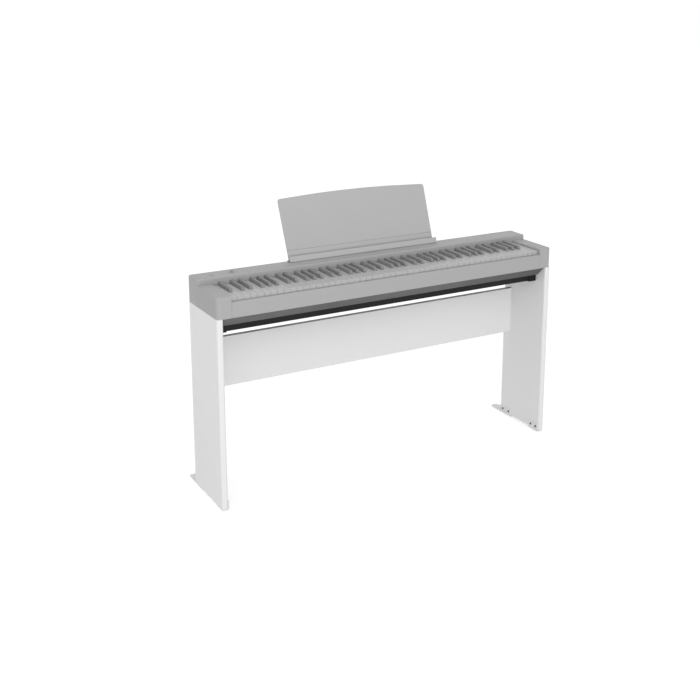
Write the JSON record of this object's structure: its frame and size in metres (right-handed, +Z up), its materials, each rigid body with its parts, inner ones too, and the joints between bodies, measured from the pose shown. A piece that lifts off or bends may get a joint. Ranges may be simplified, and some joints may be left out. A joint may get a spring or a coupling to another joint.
{
  "type": "digital piano on stand",
  "caption": "Slim digital piano with weighted keys that press, panel buttons and a lift-off music rest, carried by rails between slab side panels that a rear board joins.",
  "frame": {"origin": "on the floor, below the middle of the box around the whole object", "axes": "+X to the player's right along the keyboard, +Y from the player to the back, +Z up"},
  "size_m": [1.326, 0.3194, 0.9563],
  "materials": {
    "white_laminate": "smooth white laminate on board",
    "dark_edge_band": "dark edge band",
    "black_rail": "black powder coat",
    "black_bracket": "black powder coat",
    "white_foot": "white powder coat",
    "zinc_steel": "zinc plated",
    "dark_screw": "black oxide",
    "dark_rubber": "matt",
    "dark_case": "fine moulded texture",
    "grey_case": "fine moulded texture",
    "grey_rest": "fine moulded texture",
    "dark_frame": "moulded",
    "felt": "felt",
    "spring_steel": "rolled",
    "circuit_board": "solder mask",
    "contact_rubber": "silicone",
    "speaker_black": "moulded",
    "jack_black": "moulded",
    "grey_button": "satin",
    "natural_key": "satin gloss",
    "sharp_key": "matt grained"
  },
  "bodies": {
    "stand_and_case": {"back_panels": "grey_case", "board_edge_band": "dark_edge_band", "contact_board": "circuit_board", "contact_domes": "contact_rubber", "corner_brackets": "zinc_steel", "data_socket": "jack_black", "floor_pads": "dark_rubber", "front_feet": "white_foot", "front_rail": "black_rail", "jack_plate": "jack_black", "key_felts": "felt", "key_slip": "grey_case", "key_springs": "spring_steel", "keyboard_frame": "dark_frame", "left_cheek": "grey_case", "left_side_panel": "white_laminate", "lower_case": "dark_case", "main_board": "circuit_board", "panel_board": "circuit_board", "rail_brackets": "black_bracket", "rear_board": "white_laminate", "rear_feet": "white_foot", "rear_rail": "black_rail", "right_cheek": "grey_case", "right_side_panel": "white_laminate", "rubber_feet": "dark_rubber", "screws": "dark_screw", "speakers": "speaker_black", "thumb_screws": "black_bracket", "top_cover": "grey_case"},
    "naturals_octave_1": {"naturals_octave_1": "natural_key"},
    "sharps_octave_1": {"sharps_octave_1": "sharp_key"},
    "naturals_octave_2": {"naturals_octave_2": "natural_key"},
    "sharps_octave_2": {"sharps_octave_2": "sharp_key"},
    "naturals_octave_3": {"naturals_octave_3": "natural_key"},
    "sharps_octave_3": {"sharps_octave_3": "sharp_key"},
    "key_c4": {"key_c4": "natural_key"},
    "key_c_sharp4": {"key_c_sharp4": "sharp_key"},
    "key_d4": {"key_d4": "natural_key"},
    "key_d_sharp4": {"key_d_sharp4": "sharp_key"},
    "key_e4": {"key_e4": "natural_key"},
    "key_f4": {"key_f4": "natural_key"},
    "key_f_sharp4": {"key_f_sharp4": "sharp_key"},
    "key_g4": {"key_g4": "natural_key"},
    "key_g_sharp4": {"key_g_sharp4": "sharp_key"},
    "key_a4": {"key_a4": "natural_key"},
    "key_a_sharp4": {"key_a_sharp4": "sharp_key"},
    "key_b4": {"key_b4": "natural_key"},
    "naturals_octave_5": {"naturals_octave_5": "natural_key"},
    "sharps_octave_5": {"sharps_octave_5": "sharp_key"},
    "naturals_octave_6": {"naturals_octave_6": "natural_key"},
    "sharps_octave_6": {"sharps_octave_6": "sharp_key"},
    "naturals_octave_7": {"naturals_octave_7": "natural_key"},
    "sharps_octave_7": {"sharps_octave_7": "sharp_key"},
    "power_button": {"power_button": "grey_button"},
    "function_button_1": {"function_button_1": "grey_button"},
    "function_button_2": {"function_button_2": "grey_button"},
    "function_button_3": {"function_button_3": "grey_button"},
    "volume_knob": {"volume_knob": "grey_button"},
    "music_rest": {"music_rest": "grey_rest"}
  },
  "joints": [
    {"name": "naturals_octave_1_hinge", "type": "hinge", "parent": "stand_and_case", "child": "naturals_octave_1", "pos_m": [-0.6006, 0.06573, 0.701], "axis": [1, 0, 0], "range_deg": [0, 2.69], "stiffness_Nm_per_rad": 4.05, "springref_deg": -18.91},
    {"name": "sharps_octave_1_hinge", "type": "hinge", "parent": "stand_and_case", "child": "sharps_octave_1", "pos_m": [-0.5843, 0.06573, 0.701], "axis": [1, 0, 0], "range_deg": [0, 2.69], "stiffness_Nm_per_rad": 2.7, "springref_deg": -18.91},
    {"name": "naturals_octave_2_hinge", "type": "hinge", "parent": "stand_and_case", "child": "naturals_octave_2", "pos_m": [-0.3919, 0.06573, 0.701], "axis": [1, 0, 0], "range_deg": [0, 2.69], "stiffness_Nm_per_rad": 3.15, "springref_deg": -18.91},
    {"name": "sharps_octave_2_hinge", "type": "hinge", "parent": "stand_and_case", "child": "sharps_octave_2", "pos_m": [-0.3784, 0.06573, 0.701], "axis": [1, 0, 0], "range_deg": [0, 2.69], "stiffness_Nm_per_rad": 2.25, "springref_deg": -18.91},
    {"name": "naturals_octave_3_hinge", "type": "hinge", "parent": "stand_and_case", "child": "naturals_octave_3", "pos_m": [-0.2274, 0.06573, 0.701], "axis": [1, 0, 0], "range_deg": [0, 2.69], "stiffness_Nm_per_rad": 3.15, "springref_deg": -18.91},
    {"name": "sharps_octave_3_hinge", "type": "hinge", "parent": "stand_and_case", "child": "sharps_octave_3", "pos_m": [-0.2139, 0.06573, 0.701], "axis": [1, 0, 0], "range_deg": [0, 2.69], "stiffness_Nm_per_rad": 2.25, "springref_deg": -18.91},
    {"name": "key_c4_hinge", "type": "hinge", "parent": "stand_and_case", "child": "key_c4", "pos_m": [-0.0629, 0.06573, 0.701], "axis": [1, 0, 0], "range_deg": [0, 2.69], "stiffness_Nm_per_rad": 0.45, "springref_deg": -18.91},
    {"name": "key_c_sharp4_hinge", "type": "hinge", "parent": "stand_and_case", "child": "key_c_sharp4", "pos_m": [-0.0494, 0.06573, 0.701], "axis": [1, 0, 0], "range_deg": [0, 2.69], "stiffness_Nm_per_rad": 0.45, "springref_deg": -18.91},
    {"name": "key_d4_hinge", "type": "hinge", "parent": "stand_and_case", "child": "key_d4", "pos_m": [-0.03525, 0.06573, 0.701], "axis": [1, 0, 0], "range_deg": [0, 2.69], "stiffness_Nm_per_rad": 0.45, "springref_deg": -18.91},
    {"name": "key_d_sharp4_hinge", "type": "hinge", "parent": "stand_and_case", "child": "key_d_sharp4", "pos_m": [-0.0211, 0.06573, 0.701], "axis": [1, 0, 0], "range_deg": [0, 2.69], "stiffness_Nm_per_rad": 0.45, "springref_deg": -18.91},
    {"name": "key_e4_hinge", "type": "hinge", "parent": "stand_and_case", "child": "key_e4", "pos_m": [-0.0076, 0.06573, 0.701], "axis": [1, 0, 0], "range_deg": [0, 2.69], "stiffness_Nm_per_rad": 0.45, "springref_deg": -18.91},
    {"name": "key_f4_hinge", "type": "hinge", "parent": "stand_and_case", "child": "key_f4", "pos_m": [0.0072, 0.06573, 0.701], "axis": [1, 0, 0], "range_deg": [0, 2.69], "stiffness_Nm_per_rad": 0.45, "springref_deg": -18.91},
    {"name": "key_f_sharp4_hinge", "type": "hinge", "parent": "stand_and_case", "child": "key_f_sharp4", "pos_m": [0.0203, 0.06573, 0.701], "axis": [1, 0, 0], "range_deg": [0, 2.69], "stiffness_Nm_per_rad": 0.45, "springref_deg": -18.91},
    {"name": "key_g4_hinge", "type": "hinge", "parent": "stand_and_case", "child": "key_g4", "pos_m": [0.03365, 0.06573, 0.701], "axis": [1, 0, 0], "range_deg": [0, 2.69], "stiffness_Nm_per_rad": 0.45, "springref_deg": -18.91},
    {"name": "key_g_sharp4_hinge", "type": "hinge", "parent": "stand_and_case", "child": "key_g_sharp4", "pos_m": [0.047, 0.06573, 0.701], "axis": [1, 0, 0], "range_deg": [0, 2.69], "stiffness_Nm_per_rad": 0.45, "springref_deg": -18.91},
    {"name": "key_a4_hinge", "type": "hinge", "parent": "stand_and_case", "child": "key_a4", "pos_m": [0.06035, 0.06573, 0.701], "axis": [1, 0, 0], "range_deg": [0, 2.69], "stiffness_Nm_per_rad": 0.45, "springref_deg": -18.91},
    {"name": "key_a_sharp4_hinge", "type": "hinge", "parent": "stand_and_case", "child": "key_a_sharp4", "pos_m": [0.0737, 0.06573, 0.701], "axis": [1, 0, 0], "range_deg": [0, 2.69], "stiffness_Nm_per_rad": 0.45, "springref_deg": -18.91},
    {"name": "key_b4_hinge", "type": "hinge", "parent": "stand_and_case", "child": "key_b4", "pos_m": [0.0868, 0.06573, 0.701], "axis": [1, 0, 0], "range_deg": [0, 2.69], "stiffness_Nm_per_rad": 0.45, "springref_deg": -18.91},
    {"name": "naturals_octave_5_hinge", "type": "hinge", "parent": "stand_and_case", "child": "naturals_octave_5", "pos_m": [0.1016, 0.06573, 0.701], "axis": [1, 0, 0], "range_deg": [0, 2.69], "stiffness_Nm_per_rad": 3.15, "springref_deg": -18.91},
    {"name": "sharps_octave_5_hinge", "type": "hinge", "parent": "stand_and_case", "child": "sharps_octave_5", "pos_m": [0.1151, 0.06573, 0.701], "axis": [1, 0, 0], "range_deg": [0, 2.69], "stiffness_Nm_per_rad": 2.25, "springref_deg": -18.91},
    {"name": "naturals_octave_6_hinge", "type": "hinge", "parent": "stand_and_case", "child": "naturals_octave_6", "pos_m": [0.2661, 0.06573, 0.701], "axis": [1, 0, 0], "range_deg": [0, 2.69], "stiffness_Nm_per_rad": 3.15, "springref_deg": -18.91},
    {"name": "sharps_octave_6_hinge", "type": "hinge", "parent": "stand_and_case", "child": "sharps_octave_6", "pos_m": [0.2796, 0.06573, 0.701], "axis": [1, 0, 0], "range_deg": [0, 2.69], "stiffness_Nm_per_rad": 2.25, "springref_deg": -18.91},
    {"name": "naturals_octave_7_hinge", "type": "hinge", "parent": "stand_and_case", "child": "naturals_octave_7", "pos_m": [0.4306, 0.06573, 0.701], "axis": [1, 0, 0], "range_deg": [0, 2.69], "stiffness_Nm_per_rad": 3.6, "springref_deg": -18.91},
    {"name": "sharps_octave_7_hinge", "type": "hinge", "parent": "stand_and_case", "child": "sharps_octave_7", "pos_m": [0.4441, 0.06573, 0.701], "axis": [1, 0, 0], "range_deg": [0, 2.69], "stiffness_Nm_per_rad": 2.25, "springref_deg": -18.91},
    {"name": "power_button_press", "type": "slide", "parent": "stand_and_case", "child": "power_button", "axis": [0, 0, -1], "range_m": [0, 0.001], "stiffness_N_per_m": 600, "springref_m": -0.0015},
    {"name": "function_button_1_press", "type": "slide", "parent": "stand_and_case", "child": "function_button_1", "axis": [0, 0, -1], "range_m": [0, 0.001], "stiffness_N_per_m": 600, "springref_m": -0.0015},
    {"name": "function_button_2_press", "type": "slide", "parent": "stand_and_case", "child": "function_button_2", "axis": [0, 0, -1], "range_m": [0, 0.001], "stiffness_N_per_m": 600, "springref_m": -0.0015},
    {"name": "function_button_3_press", "type": "slide", "parent": "stand_and_case", "child": "function_button_3", "axis": [0, 0, -1], "range_m": [0, 0.001], "stiffness_N_per_m": 600, "springref_m": -0.0015},
    {"name": "volume_slide", "type": "slide", "parent": "stand_and_case", "child": "volume_knob", "axis": [1, 0, 0], "range_m": [-0.02, 0.02]},
    {"name": "music_rest_lift", "type": "slide", "parent": "stand_and_case", "child": "music_rest", "axis": [0, 0.3584, 0.9336], "range_m": [0, 0.03]}
  ]
}
